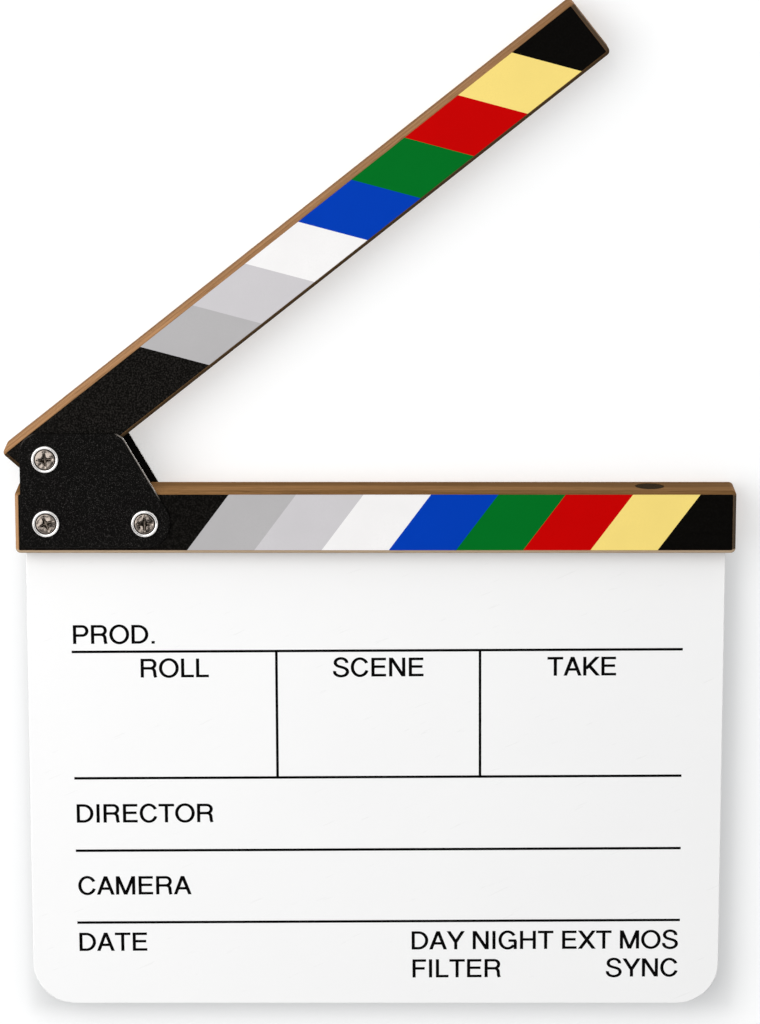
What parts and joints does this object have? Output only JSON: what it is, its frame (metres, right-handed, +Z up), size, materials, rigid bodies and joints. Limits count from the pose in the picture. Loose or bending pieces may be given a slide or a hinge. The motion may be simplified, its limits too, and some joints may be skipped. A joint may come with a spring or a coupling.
{
  "type": "clapperboard",
  "caption": "Film clapperboard: white acrylic slate with rounded lower corners under a pair of colour-striped wooden clapsticks, hinged between black steel plates.",
  "frame": {"origin": "middle of the board's bottom edge, on the middle plane of its thickness", "axes": "+Z up, board in the XZ plane with its written face towards -Y, hinge at -X, upper stick's tip towards +X"},
  "size_m": [0.3043, 0.0264, 0.4285],
  "materials": {
    "acrylic": "white opal acrylic sheet, satin front",
    "wood": "tan hardwood, clear sealed",
    "powder_coat": "black fine-texture powder coat on steel sheet",
    "plated_steel": "bright nickel plate",
    "magnet": "dark ferrite magnet",
    "black_film": "black satin vinyl film",
    "grey_film": "grey satin vinyl film",
    "silver_film": "silver satin vinyl film",
    "white_film": "white satin vinyl film",
    "blue_film": "blue satin vinyl film",
    "green_film": "green satin vinyl film",
    "red_film": "red satin vinyl film",
    "yellow_film": "yellow satin vinyl film"
  },
  "bodies": {
    "slate": {"slate_board": "acrylic", "lower_stick": "wood", "front_hinge_plate": "powder_coat", "rear_hinge_plate": "powder_coat", "lower_magnet": "magnet", "lower_black_hinge_film": "black_film", "lower_grey_film": "grey_film", "lower_silver_film": "silver_film", "lower_white_film": "white_film", "lower_blue_film": "blue_film", "lower_green_film": "green_film", "lower_red_film": "red_film", "lower_yellow_film": "yellow_film", "lower_black_tip_film": "black_film", "pivot_sleeve": "plated_steel", "pivot_cup_washer": "plated_steel", "pivot_screw": "plated_steel", "left_sleeve": "plated_steel", "left_cup_washer": "plated_steel", "left_screw": "plated_steel", "right_sleeve": "plated_steel", "right_cup_washer": "plated_steel", "right_screw": "plated_steel"},
    "clapstick": {"upper_stick": "wood", "upper_magnet": "magnet", "upper_black_hinge_film": "black_film", "upper_grey_film": "grey_film", "upper_silver_film": "silver_film", "upper_white_film": "white_film", "upper_blue_film": "blue_film", "upper_green_film": "green_film", "upper_red_film": "red_film", "upper_yellow_film": "yellow_film", "upper_black_tip_film": "black_film"}
  },
  "joints": [
    {"name": "clap_hinge", "type": "hinge", "parent": "slate", "child": "clapstick", "pos_m": [-0.137, 0, 0.2402], "axis": [0, -1, 0], "range_deg": [-38.5, 51.5]}
  ]
}
